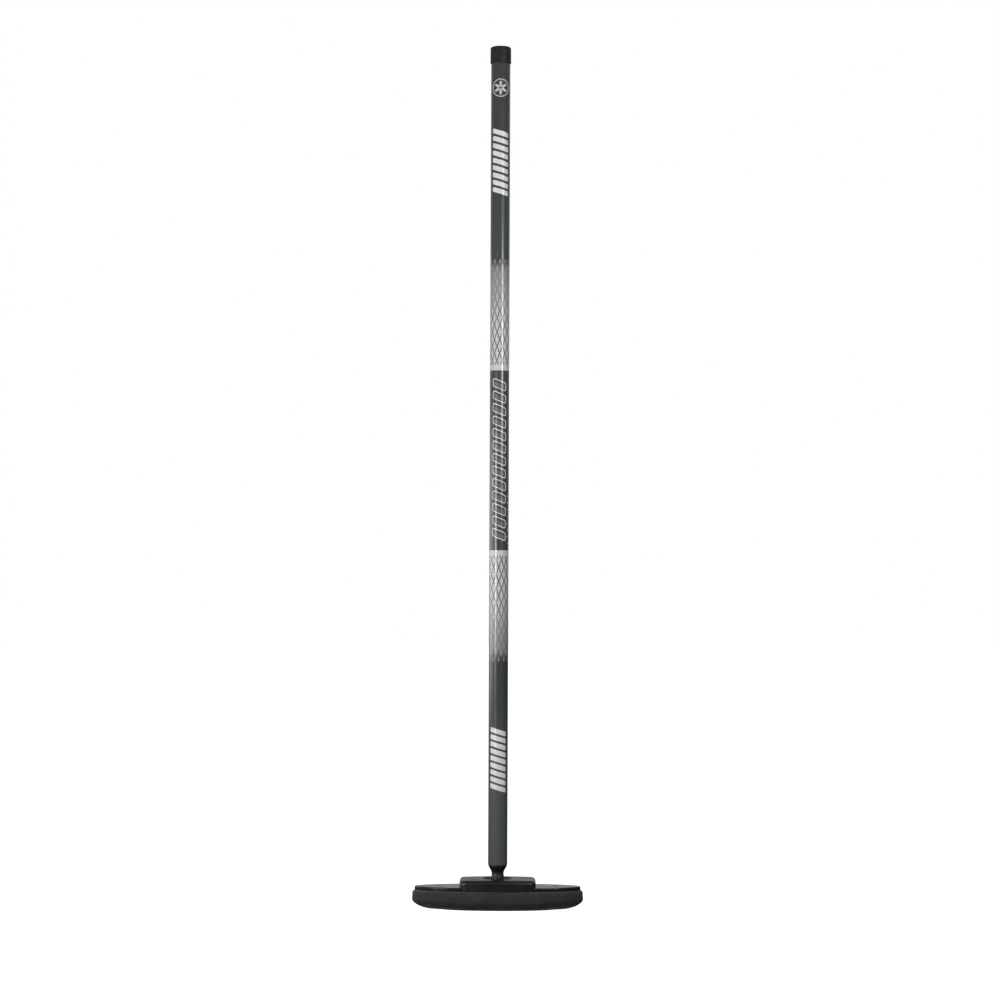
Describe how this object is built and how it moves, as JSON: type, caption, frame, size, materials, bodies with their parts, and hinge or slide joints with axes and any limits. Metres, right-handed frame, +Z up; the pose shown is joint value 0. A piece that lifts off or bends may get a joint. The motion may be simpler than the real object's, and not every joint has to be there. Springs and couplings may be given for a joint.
{
  "type": "curling broom",
  "caption": "Curling broom: printed composite tube with end cap, on a pinned tilting and swivelling elliptical head with a padded fabric sweeping surface.",
  "frame": {"origin": "centre of the pad's underside, on the ice", "axes": "+X along the head, +Y to the head's rear, +Z up along the tube"},
  "size_m": [0.2254, 0.072, 1.1354],
  "materials": {
    "tube": "lacquered composite with printed ornament",
    "cap": "smooth matt",
    "ferrule": "moulded satin",
    "acetal": "natural, smooth",
    "yoke": "black anodised",
    "steel": "zinc plated",
    "black_screw": "black oxide",
    "housing": "moulded gloss",
    "plate": "moulded gloss",
    "brass": "knurled",
    "board": "moulded",
    "foam": "closed-cell foam",
    "cover": "plain weave nylon",
    "hem": "bound edge"
  },
  "bodies": {
    "handle": {"shaft_tube": "tube", "end_cap": "cap", "neck_ferrule": "ferrule", "pivot_bushes": "acetal"},
    "swivel": {"swivel_yoke": "yoke", "pivot_pin": "steel", "pin_clips": "steel", "thrust_washers": "steel"},
    "head": {"swivel_housing": "housing", "upper_slip_ring": "acetal", "lower_slip_ring": "acetal", "housing_screws": "steel", "housing_inserts": "brass", "head_plate": "plate", "pad_screws": "black_screw", "pad_inserts": "brass", "pad_carrier": "board", "pad_foam": "foam", "pad_cover": "cover", "cover_hem": "hem"}
  },
  "joints": [
    {"name": "neck_tilt", "type": "hinge", "parent": "handle", "child": "swivel", "pos_m": [0, 0, 0.0345], "axis": [1, 0, 0], "range_deg": [-40, 40]},
    {"name": "head_swivel", "type": "hinge", "parent": "swivel", "child": "head", "pos_m": [0, 0, 0.0345], "axis": [0, 0, 1], "continuous": true}
  ]
}
